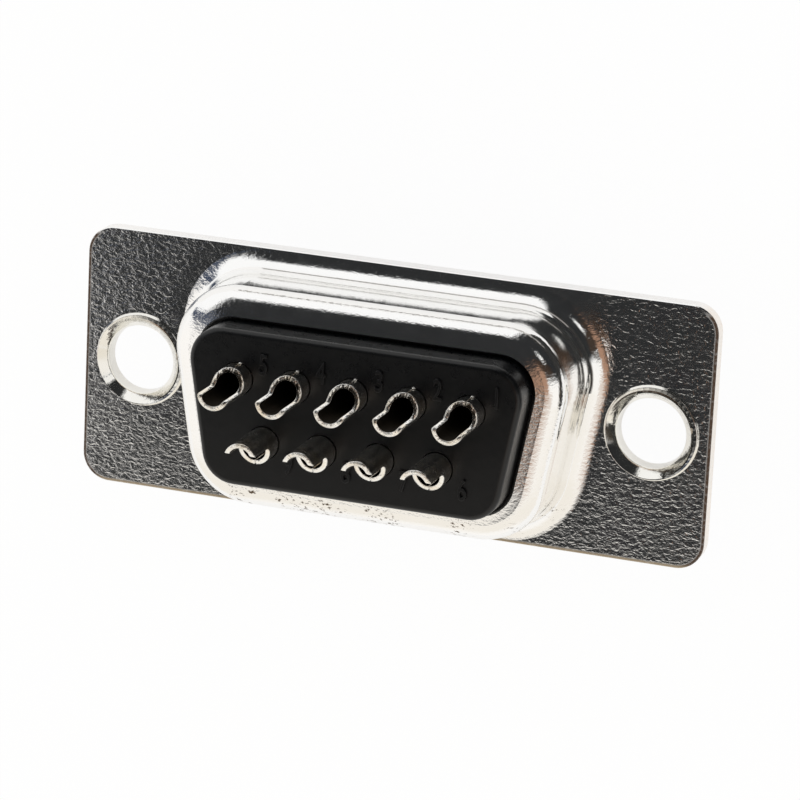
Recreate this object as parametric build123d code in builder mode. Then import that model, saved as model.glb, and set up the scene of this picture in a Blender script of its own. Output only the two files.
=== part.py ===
import os
from math import cos, radians, tan

from build123d import *

os.makedirs("parts", exist_ok=True)

# Frame: origin midway between the two mounting holes, on the mounting face of the flange.
# +Z points to the solder side, +Y to the wide row of contacts, +X to contact 1. Millimetres.

# Contact grid: two staggered rows, the wide row on the +Y side
contact_pitch = 2.77
row_spacing = 2.84
wide_row_count = 5

# Flange, made of two equal sheets laid on each other
sheet = 0.4
hole_spacing = 24.99
flange_end = 2.8
flange_width = 12.4
flange_corner = 1.3
flange_edge_break = 0.04

# Eyelets that clamp the two sheets at the mounting holes
clear_hole_radius = 1.62
eyelet_wall = 0.22
eyelet_clearance = 0.03
eyelet_head_width = 0.41
eyelet_head_rise = 0.32
eyelet_flank = 0.17
eyelet_flare = 0.2
eyelet_lead = 0.1
eyelet_gap = 0.18

# D-shaped pan of the rear shell
side_lean = 10.0
pan_rise = 3.95
pan_corner = 3.04
pan_round = 0.85
pan_base_round = 0.98
pan_land = 0.08
lip_flat = 0.51
lip_edge_break = 0.08

# D-shaped shroud of the front shell
shroud_depth = 5.9
shroud_mouth_round = 0.34
shroud_base_round = 0.2
shroud_rim_break = 0.12
seat_width = 0.12

# Insulators, front half and rear half
body_clearance = 0.1
window_clearance = 0.12
front_boss_clearance = 0.08
front_body_thickness = 2.2
boss_rise = 1.5
boss_edge_round = 0.25
front_edge_chamfer = 0.15

# Contacts: pin, neck, shoulder, rolled barrel and solder cup
pin_radius = 0.5
pin_recess = 0.7
pin_taper = 0.5
pin_end_radius = 0.2
neck_radius = 0.7
neck_clearance = 0.03
shoulder_radius = 1.0
shoulder_clearance = 0.05
shoulder_thickness = 1.0
barrel_radius = 0.75
barrel_wall = 0.21
barrel_clearance = 0.04
rim_break = 0.06
ring_rise = 0.9
ring_slope = 18.0
cup_rise = 3.02
cup_sink = 1.0
cup_cut = 0.18
cup_tip_round = 0.25
cup_corner_round = 0.35
wide_row_turn = 10.0
seam_gap = 0.06

# Heights above the mounting face
flange_rear = 2 * sheet
pan_top = flange_rear + pan_rise
pan_ceiling = pan_top - sheet
split_height = sheet + front_body_thickness
insulator_face = pan_top + boss_rise
cup_tip = insulator_face + cup_rise
cup_floor = insulator_face - cup_sink

# Two faces within this distance are at the same height
level_margin = 0.001

# Lengths that follow from the sizes above
flange_length = hole_spacing + 2 * flange_end
eyelet_head_radius = clear_hole_radius + eyelet_wall + eyelet_head_width
eyelet_tube_radius = clear_hole_radius + eyelet_wall
plate_hole_radius = eyelet_tube_radius + eyelet_clearance
pan_height = flange_width - 2 * (pan_base_round + pan_land)
pan_mid_width = hole_spacing - 2 * (eyelet_head_radius + eyelet_gap + pan_base_round)
body_inset = sheet + body_clearance
shroud_inset = body_inset + seat_width + shroud_mouth_round
window_inset = pan_round + lip_flat


def d_outline(inset):
    """D outline parallel to the outside of the pan, moved inwards by inset, wide side at +Y."""
    height = pan_height - 2 * inset
    mid_width = pan_mid_width - 2 * inset / cos(radians(side_lean))
    lean = height / 2 * tan(radians(side_lean))
    wide = mid_width / 2 + lean
    narrow = mid_width / 2 - lean
    with BuildSketch(Plane.XY) as outline:
        with BuildLine():
            Polyline(
                (-wide, height / 2),
                (wide, height / 2),
                (narrow, -height / 2),
                (-narrow, -height / 2),
                close=True,
            )
        make_face()
        fillet(outline.vertices(), pan_corner - inset)
    return outline.sketch


def face_at(part, height):
    """The largest flat face of a part at one height."""
    level_faces = part.faces().filter_by(GeomType.PLANE).filter_by(Axis.Z)
    near_faces = level_faces.filter_by_position(Axis.Z, height - level_margin, height + level_margin)
    return near_faces.sort_by(SortBy.AREA)[-1]


def row_places(count, y):
    """Contact places of one row, from +X to -X."""
    first = (count - 1) / 2 * contact_pitch
    return [(first - index * contact_pitch, y) for index in range(count)]


pan_outside = d_outline(0)
pan_inside = d_outline(sheet)
body_outline = d_outline(body_inset)
window_outline = d_outline(window_inset)
boss_outline = d_outline(window_inset + window_clearance)
shroud_outside = d_outline(shroud_inset - sheet)
shroud_inside = d_outline(shroud_inset)
front_boss_outline = d_outline(shroud_inset + front_boss_clearance)

wide_row = row_places(wide_row_count, row_spacing / 2)
narrow_row = row_places(wide_row_count - 1, -row_spacing / 2)
contact_places = wide_row + narrow_row

# Front shell: flange sheet with the shroud that guides the mating half
with BuildPart() as front_shell:
    with BuildSketch(Plane.XY):
        RectangleRounded(flange_length, flange_width, flange_corner)
    extrude(amount=sheet)
    with BuildSketch(Plane.XY):
        add(shroud_outside)
    extrude(amount=-shroud_depth)
    fillet(face_at(front_shell.part, 0).inner_wires()[0].edges(), shroud_base_round)
    chamfer(face_at(front_shell.part, 0).outer_wire().edges(), flange_edge_break)
    with BuildSketch(Plane.XY.offset(sheet)):
        add(shroud_inside)
    extrude(amount=-(sheet + shroud_depth), mode=Mode.SUBTRACT)
    fillet(face_at(front_shell.part, sheet).inner_wires()[0].edges(), shroud_mouth_round)
    chamfer(face_at(front_shell.part, -shroud_depth).edges(), shroud_rim_break)
    with Locations(Plane.XY.rotated((180, 0, 0))):
        with GridLocations(hole_spacing, 0, 2, 1):
            CounterSinkHole(plate_hole_radius, plate_hole_radius + eyelet_flare)
front_shell.part.label = "front_shell"
export_step(front_shell.part, "parts/front_shell.step")

# Rear shell: flange sheet with the drawn pan, open at its top
with BuildPart() as rear_shell:
    with BuildSketch(Plane.XY.offset(sheet)):
        RectangleRounded(flange_length, flange_width, flange_corner)
    extrude(amount=sheet)
    with BuildSketch(Plane.XY.offset(sheet)):
        add(pan_outside)
    extrude(amount=pan_top - sheet)
    fillet(face_at(rear_shell.part, pan_top).edges(), pan_round)
    fillet(face_at(rear_shell.part, flange_rear).inner_wires()[0].edges(), pan_base_round)
    chamfer(face_at(rear_shell.part, flange_rear).outer_wire().edges(), flange_edge_break)
    with BuildSketch(Plane.XY.offset(sheet)):
        add(pan_inside)
    extrude(amount=pan_ceiling - sheet, mode=Mode.SUBTRACT)
    fillet(face_at(rear_shell.part, pan_ceiling).edges(), pan_round - sheet)
    fillet(face_at(rear_shell.part, sheet).inner_wires()[0].edges(), pan_base_round + sheet)
    with BuildSketch(Plane.XY.offset(pan_top)):
        add(window_outline)
    extrude(amount=-sheet, mode=Mode.SUBTRACT)
    chamfer(face_at(rear_shell.part, pan_top).inner_wires()[0].edges(), lip_edge_break)
    with GridLocations(hole_spacing, 0, 2, 1):
        Hole(plate_hole_radius)
rear_shell.part.label = "rear_shell"
export_step(rear_shell.part, "parts/rear_shell.step")

# Front insulator: body in the pan, boss in the mouth of the shroud, counterbores for the shoulders
with BuildPart() as front_insulator:
    with BuildSketch(Plane.XY.offset(sheet)):
        add(body_outline)
    extrude(amount=front_body_thickness)
    with BuildSketch(Plane.XY.offset(sheet)):
        add(front_boss_outline)
    extrude(amount=-sheet)
    chamfer(face_at(front_insulator.part, 0).edges(), front_edge_chamfer)
    with Locations([(x, y, split_height) for x, y in contact_places]):
        CounterBoreHole(
            neck_radius + neck_clearance,
            shoulder_radius + shoulder_clearance,
            shoulder_thickness,
        )
front_insulator.part.label = "front_insulator"
export_step(front_insulator.part, "parts/front_insulator.step")

# Rear insulator: body under the lip of the pan, boss standing out of its window
with BuildPart() as rear_insulator:
    with BuildSketch(Plane.XY.offset(split_height)):
        add(body_outline)
    extrude(amount=pan_ceiling - split_height)
    chamfer(face_at(rear_insulator.part, pan_ceiling).edges(), pan_round - body_inset)
    with BuildSketch(Plane.XY.offset(split_height)):
        add(boss_outline)
    extrude(amount=insulator_face - split_height)
    fillet(face_at(rear_insulator.part, insulator_face).edges(), boss_edge_round)
    with Locations(contact_places):
        Hole(barrel_radius + barrel_clearance)
rear_insulator.part.label = "rear_insulator"
export_step(rear_insulator.part, "parts/rear_insulator.step")


def export_eyelet(name, x):
    """Hollow rivet: tube through both sheets, curled head on the rear, flared end flush in front."""
    crest_radius = eyelet_head_radius - eyelet_flank
    crest_height = flange_rear + eyelet_head_rise
    curl = crest_radius - clear_hole_radius
    flare_start = eyelet_flare + eyelet_clearance
    with BuildPart() as eyelet:
        with BuildSketch(Plane((x, 0, 0), x_dir=(1, 0, 0), z_dir=(0, -1, 0))):
            with BuildLine():
                throat = (clear_hole_radius, crest_height - curl)
                crest = (crest_radius, crest_height)
                TangentArc(throat, crest, tangent=(0, 1))
                Polyline(
                    crest,
                    (eyelet_head_radius, flange_rear),
                    (eyelet_tube_radius, flange_rear),
                    (eyelet_tube_radius, flare_start),
                    (eyelet_tube_radius + eyelet_flare, eyelet_clearance),
                    (eyelet_tube_radius + eyelet_flare, 0),
                    (clear_hole_radius + eyelet_lead, 0),
                    (clear_hole_radius, eyelet_lead),
                    throat,
                )
            make_face()
        revolve(axis=Axis((x, 0, 0), (0, 0, 1)))
    eyelet.part.label = name
    export_step(eyelet.part, f"parts/{name}.step")


export_eyelet("eyelet_left", -hole_spacing / 2)
export_eyelet("eyelet_right", hole_spacing / 2)


def export_contact(name, x, y, facing, turn):
    """One contact. Its cup opens towards +Y or -Y as facing says, turned towards +X by turn degrees."""
    shoulder_front = split_height - shoulder_thickness
    bore_radius = barrel_radius - barrel_wall
    pin_tip = pin_recess - shroud_depth
    ring_low = insulator_face + ring_rise
    ring_high = ring_low + (barrel_radius + cup_cut) * tan(radians(ring_slope))
    section = Plane((x, y, 0), x_dir=(0, facing, 0), z_dir=(facing, 0, 0)).rotated((0, 0, -facing * turn))
    with BuildPart() as contact:
        with BuildSketch(section):
            with BuildLine():
                Polyline(
                    (0, cup_floor),
                    (0, pin_tip),
                    (pin_end_radius, pin_tip),
                    (pin_radius, pin_tip + pin_taper),
                    (pin_radius, 0),
                    (neck_radius, 0),
                    (neck_radius, shoulder_front),
                    (shoulder_radius, shoulder_front),
                    (shoulder_radius, split_height),
                    (barrel_radius, split_height),
                    (barrel_radius, cup_tip - rim_break),
                    (barrel_radius - rim_break, cup_tip),
                    (bore_radius + rim_break, cup_tip),
                    (bore_radius, cup_tip - rim_break),
                    (bore_radius, cup_floor),
                    close=True,
                )
            make_face()
        revolve(axis=Axis((x, y, 0), (0, 0, 1)))
        with BuildSketch(section) as scoop:
            with BuildLine():
                tip_end = (-cup_cut - cup_tip_round, cup_tip)
                cut_top = (-cup_cut, cup_tip - cup_tip_round)
                cut_foot = (-cup_cut, ring_high)
                TangentArc(tip_end, cut_top, tangent=(1, 0))
                Polyline(cut_top, cut_foot, (barrel_radius, ring_low), (barrel_radius, cup_tip), tip_end)
            make_face()
            fillet(scoop.vertices().sort_by_distance(cut_foot)[0], cup_corner_round)
        extrude(amount=barrel_radius, both=True, mode=Mode.SUBTRACT)
        with BuildSketch(section):
            with Locations((barrel_radius / 2, (cup_floor + cup_tip) / 2)):
                Rectangle(barrel_radius, cup_tip - cup_floor)
        extrude(amount=seam_gap / 2, both=True, mode=Mode.SUBTRACT)
    contact.part.label = name
    export_step(contact.part, f"parts/{name}.step")


for number, (place_x, place_y) in enumerate(contact_places, start=1):
    in_wide_row = place_y > 0
    facing = 1 if in_wide_row else -1
    export_contact(f"contact_{number}", place_x, place_y, facing, wide_row_turn if in_wide_row else 0)
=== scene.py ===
import math

import bpy
from mathutils import Matrix, Vector


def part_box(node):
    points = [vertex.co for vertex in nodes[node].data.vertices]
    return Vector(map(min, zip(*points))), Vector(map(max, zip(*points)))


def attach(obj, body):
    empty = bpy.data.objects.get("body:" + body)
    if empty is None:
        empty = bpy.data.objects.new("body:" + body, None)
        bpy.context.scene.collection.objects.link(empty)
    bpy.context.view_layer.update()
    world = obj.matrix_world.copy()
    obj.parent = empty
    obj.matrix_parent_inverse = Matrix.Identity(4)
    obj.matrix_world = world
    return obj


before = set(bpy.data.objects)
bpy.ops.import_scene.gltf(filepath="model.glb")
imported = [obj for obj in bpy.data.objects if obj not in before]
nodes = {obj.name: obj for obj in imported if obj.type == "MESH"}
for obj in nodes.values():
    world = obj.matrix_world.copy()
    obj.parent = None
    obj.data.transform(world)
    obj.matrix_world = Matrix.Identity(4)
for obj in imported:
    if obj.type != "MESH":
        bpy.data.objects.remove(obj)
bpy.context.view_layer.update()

# Lengths are in millimetres and angles in degrees
MM = 0.001

# Read from the solids
shell_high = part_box("rear_shell")[1] / MM
shroud_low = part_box("front_shell")[0] / MM
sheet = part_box("front_shell")[1].z / MM
face_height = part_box("rear_insulator")[1].z / MM
eyelet_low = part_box("eyelet_right")[0] / MM
eyelet_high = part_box("eyelet_right")[1] / MM
places = []
for number in range(1, 10):
    low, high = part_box(f"contact_{number}")
    places.append((low + high) / 2 / MM)
floor_height = shroud_low.z
flange_rear = 2 * sheet
pan_top = shell_high.z
hole_spacing = eyelet_low.x + eyelet_high.x
head_radius = (eyelet_high.y - eyelet_low.y) / 2
pitch = places[0].x - places[1].x
row_offset = places[0].y

# Sizes of the solids that their boxes don't give
flange_corner = 1.3
base_round = 0.98
base_land = 0.08
pan_round = 0.85
pan_corner = 3.04
pan_height = 2 * (shell_high.y - base_round - base_land)
pan_mid_width = 18.17
side_lean = 10.0
hole_radius = 1.62
bore_radius = 0.54
cup_radius = 0.72

# Slight forms that only the shading has
lip_fall = 8.0
lip_start = 0.6
flare_slope = 52.0
flare_share = 0.9
hole_bulge = 0.3
hole_bulge_reach = 5.0
rim_lean_y = 0.3
rim_lean_z = 0.8
rim_lumps = 0.08
rim_round = 0.14

# Depths of the fine reliefs
shell_grain_depth = 0.007
eyelet_grain_depth = 0.005
insulator_skin_depth = 0.004
contact_grain_depth = 0.003


class Graph:
    """Short calls for building one node tree."""

    # First input, second input and output of the Mix node for each kind of data
    MIX_SOCKETS = {"RGBA": (6, 7, 2), "VECTOR": (4, 5, 1)}

    def __init__(self, tree):
        self.tree = tree
        tree.nodes.clear()

    def node(self, kind, **values):
        made = self.tree.nodes.new(kind)
        for key, value in values.items():
            setattr(made, key, value)
        return made

    def put(self, socket, value):
        """Links an output to the socket, or sets the socket to a plain value."""
        if isinstance(value, bpy.types.NodeSocket):
            self.tree.links.new(value, socket)
        else:
            socket.default_value = value

    def math(self, operation, *values):
        made = self.node("ShaderNodeMath", operation=operation)
        for socket, value in zip(made.inputs, values):
            self.put(socket, value)
        return made.outputs[0]

    def plus(self, first, second):
        return self.math("ADD", first, second)

    def minus(self, first, second):
        return self.math("SUBTRACT", first, second)

    def times(self, product, *factors):
        for factor in factors:
            product = self.math("MULTIPLY", product, factor)
        return product

    def hypotenuse(self, first, second):
        return self.math("SQRT", self.plus(self.times(first, first), self.times(second, second)))

    def scaled(self, vector, factors):
        """The vector with each part multiplied by its own factor."""
        made = self.node("ShaderNodeVectorMath", operation="MULTIPLY")
        self.put(made.inputs[0], vector)
        self.put(made.inputs[1], factors)
        return made.outputs[0]

    def split(self, vector):
        made = self.node("ShaderNodeSeparateXYZ")
        self.put(made.inputs[0], vector)
        return made.outputs

    def ramp(self, value, start, end, low=0.0, high=1.0):
        """Smooth step from low to high while the value goes from start to end."""
        made = self.node("ShaderNodeMapRange", interpolation_type="SMOOTHSTEP")
        for socket, given in zip(made.inputs, (value, start, end, low, high)):
            self.put(socket, given)
        return made.outputs[0]

    def mix(self, factor, first, second, kind="RGBA"):
        """The first value where the factor is 0, the second where it is 1."""
        made = self.node("ShaderNodeMix", data_type=kind)
        first_input, second_input, output = self.MIX_SOCKETS[kind]
        self.put(made.inputs["Factor"], factor)
        self.put(made.inputs[first_input], (*first, 1) if isinstance(first, tuple) else first)
        self.put(made.inputs[second_input], (*second, 1) if isinstance(second, tuple) else second)
        return made.outputs[output]

    def noise(self, vector, scale=1.0, detail=2.0, rough=0.55, distortion=0.0):
        made = self.node("ShaderNodeTexNoise")
        self.put(made.inputs["Vector"], vector)
        self.put(made.inputs["Scale"], scale)
        self.put(made.inputs["Detail"], detail)
        self.put(made.inputs["Roughness"], rough)
        self.put(made.inputs["Distortion"], distortion)
        return made.outputs[0]

    def bump(self, height, depth, normal=None, strength=1.0):
        """Normal of a relief that is depth millimetres deep."""
        made = self.node("ShaderNodeBump")
        made.inputs["Distance"].default_value = depth * MM
        self.put(made.inputs["Strength"], strength)
        self.put(made.inputs["Height"], height)
        if normal is not None:
            self.put(made.inputs["Normal"], normal)
        return made.outputs[0]

    def rounded(self, radius):
        """Normal that runs round sharp edges."""
        made = self.node("ShaderNodeBevel", samples=6)
        made.inputs["Radius"].default_value = radius * MM
        return made.outputs[0]

    def place(self):
        """Place on the part in millimetres."""
        coordinates = self.node("ShaderNodeTexCoord")
        return self.scaled(coordinates.outputs["Object"], (1 / MM, 1 / MM, 1 / MM))

    def output(self, shader, kind="ShaderNodeOutputMaterial"):
        made = self.node(kind)
        self.put(made.inputs["Surface"], shader)


def new_material(name):
    """A material with one principled shader: the material, its graph and the shader's inputs."""
    material = bpy.data.materials.new(name)
    material.use_nodes = True
    graph = Graph(material.node_tree)
    shader = graph.node("ShaderNodeBsdfPrincipled")
    graph.output(shader.outputs[0])
    return material, graph, shader.inputs


def corner_reach(g, over_side, over_top, corner):
    """Distance outwards from a rounded outline, from the distances beyond its two sides."""
    over_side = g.math("MAXIMUM", g.plus(over_side, corner), 0.0)
    over_top = g.math("MAXIMUM", g.plus(over_top, corner), 0.0)
    return g.minus(g.hypotenuse(over_side, over_top), corner)


def wall_distance(g, x, y):
    """Distance outwards from the D-shaped wall of the pan, negative on the lip."""
    lean = math.radians(side_lean)
    slant = g.minus(g.math("ABSOLUTE", x), g.times(y, math.tan(lean)))
    over_side = g.times(g.minus(slant, pan_mid_width / 2), math.cos(lean))
    over_top = g.minus(g.math("ABSOLUTE", y), pan_height / 2)
    return corner_reach(g, over_side, over_top, pan_corner)


def hole_distance(g, x, y):
    """Distance outwards along X and straight distance from the axis of the nearer eyelet."""
    across = g.minus(g.math("ABSOLUTE", x), hole_spacing / 2)
    return across, g.hypotenuse(across, y)


def shell_form(g, x, y, from_wall):
    """Height of the lip, which falls outwards from the window, and of the bulge around the eyelets."""
    onto_lip = g.math("SMOOTH_MAX", g.minus(-lip_start, from_wall), 0.0, lip_start)
    fall = g.times(onto_lip, math.tan(math.radians(lip_fall)))
    from_hole = hole_distance(g, x, y)[1]
    near_hole = g.math("MINIMUM", from_hole, hole_bulge_reach)
    bulge = g.times(near_hole, -math.tan(math.radians(hole_bulge)))
    return g.plus(fall, bulge)


def shell_grain(g, place, from_wall, rising, capped):
    """Short ripples along X with a finer grain, weak on the drawn wall and round its foot."""
    ripple_waves = (2.9, 4.9, 4.9)
    fine_waves = (6.0, 9.5, 9.5)
    draw_waves = (0.35, 0.35, 9.0)
    ripple = g.ramp(g.noise(g.scaled(place, ripple_waves), 1.0, 2.0, 0.6, 0.4), 0.3, 0.7)
    ripple = g.times(ripple, g.minus(0.73, g.times(capped, 0.48)))
    fine = g.noise(g.scaled(place, fine_waves), 1.0, 2.0, 0.6)
    fine = g.times(fine, g.plus(0.78, g.times(capped, 0.2)))
    wall = g.minus(rising, capped)
    foot = g.ramp(from_wall, base_round + 0.5, base_round + 0.1)
    drawn = g.math("MAXIMUM", wall, g.times(g.minus(foot, capped), 0.35))
    grain = g.times(g.plus(ripple, fine), g.minus(1.0, g.times(drawn, 0.9)))
    draw_lines = g.noise(g.scaled(place, draw_waves), 1.0, 3.0, 0.6)
    return g.plus(grain, g.times(draw_lines, wall, 0.12))


def edge_wear(g, place):
    """Masks of the line where the plating is thin, on the rear corner of the flange, and of the cut face."""
    x, y, z = g.split(place)
    beyond_x = g.minus(g.math("ABSOLUTE", x), shell_high.x)
    beyond_y = g.minus(g.math("ABSOLUTE", y), shell_high.y)
    from_edge = corner_reach(g, beyond_x, beyond_y, flange_corner)
    blotch = g.noise(place, 5.0, 3.0, 0.7)
    on_corner = g.ramp(from_edge, -0.2, -0.1)
    on_rear = g.ramp(z, flange_rear - 0.08, flange_rear - 0.05)
    off_far_edge = g.ramp(y, shell_high.y - 0.2, shell_high.y - 0.5)
    corner_line = g.times(on_corner, on_rear, off_far_edge, g.ramp(blotch, 0.25, 0.5, 0.7, 1.0))
    cut_face = g.times(g.ramp(from_edge, -0.03, -0.01), g.ramp(blotch, 0.3, 0.7, 0.4, 1.0))
    return corner_line, cut_face


def rust_specks(g, place, rising):
    """Mask of a few specks on the near side of the pan."""
    y = g.split(place)[1]
    speck_waves = (4.0, 7.0, 7.0)
    speck = g.ramp(g.noise(g.scaled(place, speck_waves), 1.0, 4.0, 0.7), 0.57, 0.61)
    cluster = g.ramp(g.noise(place, 0.7, 1.0), 0.45, 0.55)
    near_side = g.times(g.ramp(y, 1.3 - pan_height / 2, 0.8 - pan_height / 2), rising)
    return g.times(speck, cluster, near_side)


def plated_shell():
    """Tin-plated sheet: pebbled on the flange and the lip, drawn smooth up the wall of the pan."""
    dull_tin, bright_tin = (0.93, 0.925, 0.91), (0.98, 0.977, 0.97)
    # The near side's cut colour is a painted reflection of the warm light on that side
    painted_warm_cut, far_cut = (0.93, 0.85, 0.77), (0.98, 0.965, 0.95)
    brown, painted_golden_sheen = (0.085, 0.055, 0.038), (0.42, 0.34, 0.235)
    rust = (0.10, 0.07, 0.045)
    material, g, pin = new_material("plated_shell")
    place = g.place()
    x, y, z = g.split(place)
    from_wall = wall_distance(g, x, y)
    rising = g.ramp(z, flange_rear, flange_rear + base_round / 4)
    capped = g.ramp(z, pan_top - pan_round, pan_top - pan_round / 4)
    formed = g.bump(shell_form(g, x, y, from_wall), 1.0)
    grain = shell_grain(g, place, from_wall, rising, capped)
    g.put(pin["Normal"], g.bump(grain, shell_grain_depth, formed))

    # The corner line is worn plating, brown, and painted lighter and golden on the near side as a painted
    # reflection
    corner_line, cut_face = edge_wear(g, place)
    far_side = g.ramp(y, shell_high.y - 0.3, shell_high.y)
    near_side = g.ramp(y, -shell_high.y + 0.3, -shell_high.y)
    colour = g.mix(g.noise(place, 0.5, 3.0, 0.6), dull_tin, bright_tin)
    # On the near side the cut face is painted warmer, a painted reflection of the cream light there
    colour = g.mix(cut_face, colour, g.mix(far_side, painted_warm_cut, far_cut))
    colour = g.mix(corner_line, colour, g.mix(near_side, brown, painted_golden_sheen))
    g.put(pin["Base Color"], g.mix(rust_specks(g, place, rising), colour, rust))
    g.put(pin["Metallic"], g.minus(1.0, g.times(corner_line, 0.85)))
    g.put(pin["Roughness"], g.ramp(g.noise(place, 2.0, 4.0, 0.6), 0.2, 0.8, 0.06, 0.12))
    return material


def bright_eyelet():
    """Bright nickel. Inside its crest the head is flared, and slopes like a cone to the hole."""
    dull_nickel, bright_nickel = (0.86, 0.84, 0.78), (0.95, 0.94, 0.91)
    material, g, pin = new_material("plated_eyelet")
    place = g.place()
    x, y, z = g.split(place)
    across, radius = hole_distance(g, x, y)
    steep = math.sin(math.radians(flare_slope))
    cone = g.node("ShaderNodeCombineXYZ")
    g.put(cone.inputs[0], g.math("DIVIDE", g.times(across, g.math("SIGN", x), -steep), radius))
    g.put(cone.inputs[1], g.math("DIVIDE", g.times(y, -steep), radius))
    g.put(cone.inputs[2], math.cos(math.radians(flare_slope)))
    inside_crest = g.ramp(radius, head_radius - 0.05, head_radius - 0.12)
    outside_hole = g.ramp(radius, hole_radius + 0.01, hole_radius + 0.08)
    at_rear = g.ramp(z, flange_rear - 0.4, flange_rear)
    flare = g.times(inside_crest, flare_share, outside_hole, at_rear)
    surface = g.node("ShaderNodeNewGeometry").outputs["Normal"]
    flared = g.mix(flare, surface, cone.outputs[0], "VECTOR")
    g.put(pin["Normal"], g.bump(g.noise(place, 6.0, 3.0, 0.6), eyelet_grain_depth, flared))
    g.put(pin["Base Color"], g.mix(g.noise(place, 1.2, 3.0), dull_nickel, bright_nickel))
    pin["Metallic"].default_value = 1.0
    g.put(pin["Roughness"], g.ramp(g.noise(place, 4.0, 3.0), 0.25, 0.75, 0.05, 0.11))
    return material


def black_insulator():
    """Black moulded plastic with a fine satin skin, a little duller towards the narrow row."""
    deep_black, soft_black = (0.0006, 0.0009, 0.0012), (0.0016, 0.002, 0.0026)
    material, g, pin = new_material("insulator")
    place = g.place()
    y = g.split(place)[1]
    g.put(pin["Normal"], g.bump(g.noise(place, 9.0, 4.0, 0.65), insulator_skin_depth))
    g.put(pin["Base Color"], g.mix(g.noise(place, 0.8, 4.0), deep_black, soft_black))
    duller = g.ramp(y, row_offset * 2, -row_offset * 3, 0.0, 0.13)
    satin = g.ramp(g.noise(place, 3.0, 3.0), 0.2, 0.8, 0.26, 0.32)
    g.put(pin["Roughness"], g.plus(duller, satin))
    pin["Specular IOR Level"].default_value = 0.45
    return material


def contact_radius(g, x, y):
    """Distance from the axis of the nearest contact."""
    narrow_row = g.math("LESS_THAN", y, 0.0)
    along = g.plus(g.math("DIVIDE", x, pitch), g.times(narrow_row, 0.5))
    from_axis_x = g.times(g.minus(g.math("FRACT", g.plus(along, 0.5)), 0.5), pitch)
    from_axis_y = g.minus(g.math("ABSOLUTE", y), row_offset)
    return g.hypotenuse(from_axis_x, from_axis_y)


def tinned_contact():
    """Tinned brass: bright rims, warm where the tin is thin, dull and darkened by painted shade down in the
    bore.
    """
    dull_tin, bright_tin = (0.90, 0.88, 0.83), (0.98, 0.97, 0.94)
    brass = (0.82, 0.66, 0.42)
    painted_bore_shade = (0.035, 0.028, 0.02)
    material, g, pin = new_material("contact")
    place = g.place()
    x, y, z = g.split(place)
    radius = contact_radius(g, x, y)
    bore = g.ramp(radius, bore_radius + 0.015, bore_radius + 0.005)

    # The cut rims lean outwards and are lumpy with tin
    outside_bore = g.ramp(radius, bore_radius + 0.005, bore_radius + 0.03)
    rim = g.times(outside_bore, g.ramp(radius, cup_radius + 0.03, cup_radius))
    lean = g.minus(g.times(y, rim_lean_y), g.times(z, rim_lean_z))
    lean = g.plus(lean, g.times(g.noise(place, 4.0, 2.0), rim_lumps))
    leaning = g.bump(lean, 1.0, g.rounded(rim_round), rim)
    g.put(pin["Normal"], g.bump(g.noise(place, 5.0, 3.0, 0.6), contact_grain_depth, leaning))

    tin = g.mix(g.noise(place, 1.5, 3.0, 0.6), dull_tin, bright_tin)
    thin = g.times(g.ramp(g.noise(place, 1.1, 2.0), 0.45, 0.7), 0.4)
    tin = g.mix(thin, tin, brass)
    # The bore's dark colour is painted shade
    g.put(pin["Base Color"], g.mix(bore, tin, painted_bore_shade))
    pin["Metallic"].default_value = 1.0
    dull = g.ramp(g.noise(place, 3.0, 3.0), 0.2, 0.8, 0.18, 0.28)
    dull = g.minus(dull, g.times(rim, 0.09))
    g.put(pin["Roughness"], g.plus(dull, g.times(bore, 0.25)))
    return material


shell = plated_shell()
eyelet = bright_eyelet()
insulator = black_insulator()
contact = tinned_contact()
for name, node in nodes.items():
    if name.endswith("shell"):
        material = shell
    elif name.startswith("eyelet"):
        material = eyelet
    elif name.endswith("insulator"):
        material = insulator
    else:
        material = contact
    node.data.materials.clear()
    node.data.materials.append(material)


# Moulded numbers on the insulator, beside each contact
NUMBER_HEIGHT = 1.0
CAP_SHARE = 0.72
NUMBER_NARROWING = 0.65
NUMBER_HALF_DEPTH = 0.05
NUMBER_ROUND = 0.025
NUMBER_LIFT = 0.03
NUMBER_SHIFT = 1.27
WIDE_ROW_RISE = 0.77
NARROW_ROW_DROP = 0.85

# Nibs at the feet of the wide row's barrels
NIB_HALF_SIZE = Vector((0.10, 0.06, 0.14))
NIB_SHIFT = 0.16
NIB_RISE = 0.77
NIB_LIFT = 0.04
NIB_RINGS = 6
NIB_TURNS = 10


def add_piece(name, data, spot, material):
    """A small piece of the part at a spot in millimetres."""
    piece = bpy.data.objects.new(name, data)
    piece.location = Vector(spot) * MM
    data.materials.append(material)
    bpy.context.scene.collection.objects.link(piece)
    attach(piece, "root")
    return piece


def add_number(number, x, y):
    """Moulded contact number, raised from the insulator face."""
    text = bpy.data.curves.new(f"number_{number}", "FONT")
    text.body = str(number)
    text.size = NUMBER_HEIGHT / CAP_SHARE * MM
    text.align_x = "CENTER"
    text.align_y = "CENTER"
    text.extrude = NUMBER_HALF_DEPTH * MM
    text.bevel_depth = NUMBER_ROUND * MM
    text.bevel_resolution = 2
    spot = (x, y, face_height + NUMBER_LIFT)
    piece = add_piece(f"number_{number}", text, spot, insulator)
    piece.scale.x = NUMBER_NARROWING


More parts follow.
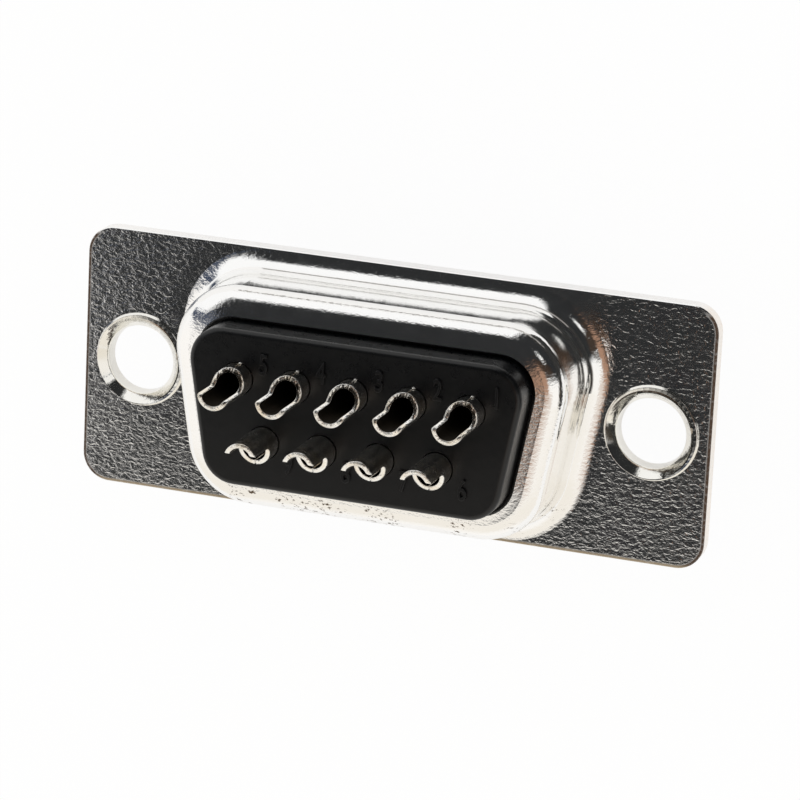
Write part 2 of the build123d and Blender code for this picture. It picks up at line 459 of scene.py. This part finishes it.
def add_nib(number, spot):
    """Corner of the rolled barrel that shows at its foot."""
    mesh = bpy.data.meshes.new(f"seam_nib_{number}")
    verts = []
    for ring in range(NIB_RINGS + 1):
        polar = math.pi * ring / NIB_RINGS
        across = math.sin(polar)
        for turn in range(NIB_TURNS):
            around = 2 * math.pi * turn / NIB_TURNS
            verts.append((
                NIB_HALF_SIZE.x * MM * across * math.cos(around),
                NIB_HALF_SIZE.y * MM * across * math.sin(around),
                NIB_HALF_SIZE.z * MM * math.cos(polar),
            ))
    faces = []
    for ring in range(NIB_RINGS):
        for turn in range(NIB_TURNS):
            here = ring * NIB_TURNS + turn
            beside = ring * NIB_TURNS + (turn + 1) % NIB_TURNS
            faces.append((here, beside, beside + NIB_TURNS, here + NIB_TURNS))
    mesh.from_pydata(verts, [], faces)
    mesh.shade_smooth()
    add_piece(f"seam_nib_{number}", mesh, spot, contact)


for number, spot in enumerate(places, start=1):
    in_wide_row = spot.y > 0
    number_y = row_offset + WIDE_ROW_RISE if in_wide_row else -row_offset - NARROW_ROW_DROP
    add_number(number, spot.x + NUMBER_SHIFT, number_y)
    if in_wide_row:
        add_nib(number, (spot.x + NIB_SHIFT, spot.y + NIB_RISE, face_height + NIB_LIFT))


def add_stage_piece(name, mesh, material):
    mesh.materials.append(material)
    piece = bpy.data.objects.new(name, mesh)
    bpy.context.scene.collection.objects.link(piece)
    return piece


def reflected_only(piece):
    piece.visible_camera = False
    piece.visible_diffuse = False
    piece.visible_shadow = False


def plain_paint(name, shade):
    material, _, pin = new_material(name)
    pin["Base Color"].default_value = (shade, shade, shade, 1)
    pin["Roughness"].default_value = 0.8
    return material


def make_floor():
    """White paper. The camera sees it nearly plain white, and reflections see more of its shadow."""
    half = 3000 * MM
    camera_white = 0.93
    mirrored_white = 0.35
    z = floor_height * MM
    corners = [(-half, -half, z), (half, -half, z), (half, half, z), (-half, half, z)]
    mesh = bpy.data.meshes.new("floor")
    mesh.from_pydata(corners, [], [(0, 1, 2, 3)])
    material = bpy.data.materials.new("floor")
    material.use_nodes = True
    g = Graph(material.node_tree)
    paper = g.node("ShaderNodeBsdfDiffuse")
    paper.inputs["Color"].default_value = (0.96, 0.96, 0.96, 1)
    white = g.node("ShaderNodeEmission")
    path = g.node("ShaderNodeLightPath")
    mirrored = g.math("MAXIMUM", path.outputs["Is Glossy Ray"], path.outputs["Is Transmission Ray"])
    seen = g.times(path.outputs["Is Camera Ray"], camera_white)
    seen = g.math("MAXIMUM", seen, g.times(mirrored, mirrored_white))
    blend = g.node("ShaderNodeMixShader")
    g.put(blend.inputs[0], seen)
    g.put(blend.inputs[1], paper.outputs[0])
    g.put(blend.inputs[2], white.outputs[0])
    g.output(blend.outputs[0])
    add_stage_piece("floor", mesh, material)


def make_world():
    """White tent with a creamy band low on the near side."""
    white, warm_white, cream = (1.0, 1.0, 1.0), (1.0, 0.975, 0.94), (0.92, 0.875, 0.80)
    world = bpy.data.worlds.new("studio")
    bpy.context.scene.world = world
    world.use_nodes = True
    g = Graph(world.node_tree)
    coordinates = g.node("ShaderNodeTexCoord")
    y = g.split(coordinates.outputs["Generated"])[1]
    background = g.node("ShaderNodeBackground")
    band = g.times(g.ramp(y, -0.3, -0.6), g.ramp(y, -0.97, -0.85))
    tint = g.mix(g.ramp(y, -0.2, 0.3), warm_white, white)
    g.put(background.inputs["Color"], g.mix(band, tint, cream))
    g.output(background.outputs[0], "ShaderNodeOutputWorld")


def make_rail(name, course, top, shade):
    """A low rail that stands on the floor beside the part, seen in reflections only."""
    verts = []
    faces = []
    for index, (x, y) in enumerate(course):
        verts.append(Vector((x, y, floor_height)) * MM)
        verts.append(Vector((x, y, top)) * MM)
        if index > 0:
            faces.append((2 * index - 2, 2 * index, 2 * index + 1, 2 * index - 1))
    mesh = bpy.data.meshes.new(name)
    mesh.from_pydata(verts, [], faces)
    reflected_only(add_stage_piece(name, mesh, plain_paint(name, shade)))


def make_mat(name, outline, shade):
    """A flat mat just above the floor beside the part, seen in reflections only."""
    lift = 0.1
    mesh = bpy.data.meshes.new(name)
    verts = [Vector((x, y, floor_height + lift)) * MM for x, y in outline]
    mesh.from_pydata(verts, [], [tuple(range(len(outline)))])
    reflected_only(add_stage_piece(name, mesh, plain_paint(name, shade)))


def edge_distance(point, outline):
    """Distance from a point to a closed outline, positive inside it."""
    inside = False
    nearest = math.inf
    for (ax, ay), (bx, by) in zip(outline, outline[1:] + outline[:1]):
        if (ay > point[1]) != (by > point[1]):
            if point[0] < (bx - ax) * (point[1] - ay) / (by - ay) + ax:
                inside = not inside
        run, rise = bx - ax, by - ay
        part = ((point[0] - ax) * run + (point[1] - ay) * rise) / (run * run + rise * rise)
        part = min(1.0, max(0.0, part))
        nearest = min(nearest, math.hypot(point[0] - ax - part * run, point[1] - ay - part * rise))
    return nearest if inside else -nearest


def card_mesh(name, outline, soft, radius):
    """A patch of a sphere with a cover that fades from 1 to 0 across the outline."""
    step = 2.0
    low = [min(corner[axis] for corner in outline) - soft for axis in (0, 1)]
    high = [max(corner[axis] for corner in outline) + soft for axis in (0, 1)]
    columns = int((high[0] - low[0]) / step) + 2
    rows = int((high[1] - low[1]) / step) + 2
    verts = []
    cover = []
    for row in range(rows):
        for column in range(columns):
            spot = Vector((low[0] + column * step, low[1] + row * step))
            polar = math.radians(spot.length)
            across = math.sin(polar) * spot.normalized()
            verts.append(radius * MM * Vector((*across, math.cos(polar))))
            depth = (edge_distance(spot, outline) + soft) / (2 * soft)
            cover.append(min(1.0, max(0.0, depth)))
    faces = []
    for row in range(rows - 1):
        for column in range(columns - 1):
            corner = row * columns + column
            quad = (corner, corner + 1, corner + columns + 1, corner + columns)
            if max(cover[index] for index in quad) > 0:
                faces.append(quad)
    mesh = bpy.data.meshes.new(name)
    mesh.from_pydata(verts, [], faces)
    mesh.attributes.new("cover", "FLOAT", "POINT").data.foreach_set("value", cover)
    return mesh


def make_card(name, outline, soft, colour, radius):
    """A soft-edged card in the tent, seen in reflections only."""
    material = bpy.data.materials.new(name)
    material.use_nodes = True
    g = Graph(material.node_tree)
    mask = g.node("ShaderNodeAttribute", attribute_name="cover")
    clear = g.node("ShaderNodeBsdfTransparent")
    paint = g.node("ShaderNodeEmission")
    paint.inputs["Color"].default_value = (*colour, 1)
    blend = g.node("ShaderNodeMixShader")
    g.put(blend.inputs[0], mask.outputs["Fac"])
    g.put(blend.inputs[1], clear.outputs[0])
    g.put(blend.inputs[2], paint.outputs[0])
    g.output(blend.outputs[0])
    mesh = card_mesh(name, outline, soft, radius)
    reflected_only(add_stage_piece(name, mesh, material))


# Courses and outlines on the floor, in millimetres
BACK_RAIL = [(40, 45), (-24, 45)]
CORNER_RAIL = [(76, -32), (84, -8), (80, 12), (66, 47), (47, 66), (20, 78)]
DARK_MAT = [(21, 9), (80, 12), (66, 47), (47, 66), (20, 78), (12, 14)]
BACK_RAIL_TOP = -0.5
CORNER_RAIL_TOP = 12.0
GREY = 0.4
BLACK = 0.02

# Outlines of the cards, in degrees from overhead along +X and +Y
DARK_ROOM = [
    (-30, -24.5), (-18, -25.5), (-5, -27.5), (4, -21), (10, -11), (20, -3), (36, 2), (54, 8), (92, 10),
    (112, 20), (112, 60), (80, 100), (40, 112), (20, 104), (11, 84), (5, 70), (-1, 58), (-5, 47),
    (-10, 43), (-20, 44), (-29, 41), (-31, 20), (-31, 0),
]
FAR_RIGHT = [(70, -30), (100, -36), (104, 12), (76, 10)]
BROWN_WALL = [(8, 0), (24, 0), (50, 8), (60, 18), (40, 24), (18, 18), (6, 8)]
BLUSH = [(1, -20), (8, -24), (32, -24), (36, -15), (20, -12), (6, -17)]
COPPER_WALL = [(-4, -15), (5, -18), (16, -16), (22, -6), (24, 2), (12, 3), (3, -2), (-3, -8)]
BLUE_WINDOW = [(-27, -11), (-26, -3), (-40, 7), (-60, 18), (-78, 28), (-80, 18), (-60, 6), (-40, -5)]
LAMP = [(25, 26), (31, 23), (37, 26), (38, 32), (33, 37), (27, 36), (24, 31)]

# Outline, softness in degrees, colour and distance in millimetres, from the farthest card to the nearest
CARDS = {
    "dark_room": (DARK_ROOM, 5.0, (0.022, 0.023, 0.024), 300),
    "far_right": (FAR_RIGHT, 4.0, (0.055, 0.044, 0.033), 298),
    "brown_wall": (BROWN_WALL, 5.0, (0.045, 0.029, 0.02), 290),
    "blush": (BLUSH, 4.0, (0.70, 0.60, 0.53), 285),
    "copper_wall": (COPPER_WALL, 3.0, (0.40, 0.235, 0.155), 280),
    "blue_window": (BLUE_WINDOW, 2.5, (0.03, 0.046, 0.085), 270),
    "lamp": (LAMP, 3.0, (1.0, 1.0, 0.98), 260),
}
make_floor()
make_world()
make_rail("back_rail", BACK_RAIL, BACK_RAIL_TOP, GREY)
make_rail("corner_rail", CORNER_RAIL, CORNER_RAIL_TOP, BLACK)
make_mat("dark_mat", DARK_MAT, BLACK)
for name, (outline, soft, colour, radius) in CARDS.items():
    make_card(name, outline, soft, colour, radius)


# Camera at the angle of the photo: its place in millimetres, its axes, and its focal length in pixels
CAMERA_PLACE = Vector((61.362, 55.415, 180.913))
CAMERA_RIGHT = Vector((0.94167222, 0.04746734, -0.33316704))
CAMERA_DOWN = Vector((0.13662582, -0.9586678, 0.24957851))
CAMERA_FORWARD = Vector((-0.30754968, -0.28054037, -0.90923611))
FOCAL_PIXELS = 4300
IMAGE_PIXELS = 800


def make_camera():
    data = bpy.data.cameras.new("camera")
    data.sensor_width = 36.0
    data.lens = data.sensor_width * FOCAL_PIXELS / IMAGE_PIXELS
    data.clip_start = 0.01
    data.clip_end = 10.0
    camera = bpy.data.objects.new("camera", data)
    turn = Matrix((CAMERA_RIGHT, -CAMERA_DOWN, -CAMERA_FORWARD)).transposed().to_4x4()
    camera.matrix_world = Matrix.Translation(CAMERA_PLACE * MM) @ turn
    bpy.context.scene.collection.objects.link(camera)
    bpy.context.scene.camera = camera


make_camera()
bpy.context.scene.view_settings.view_transform = "Standard"
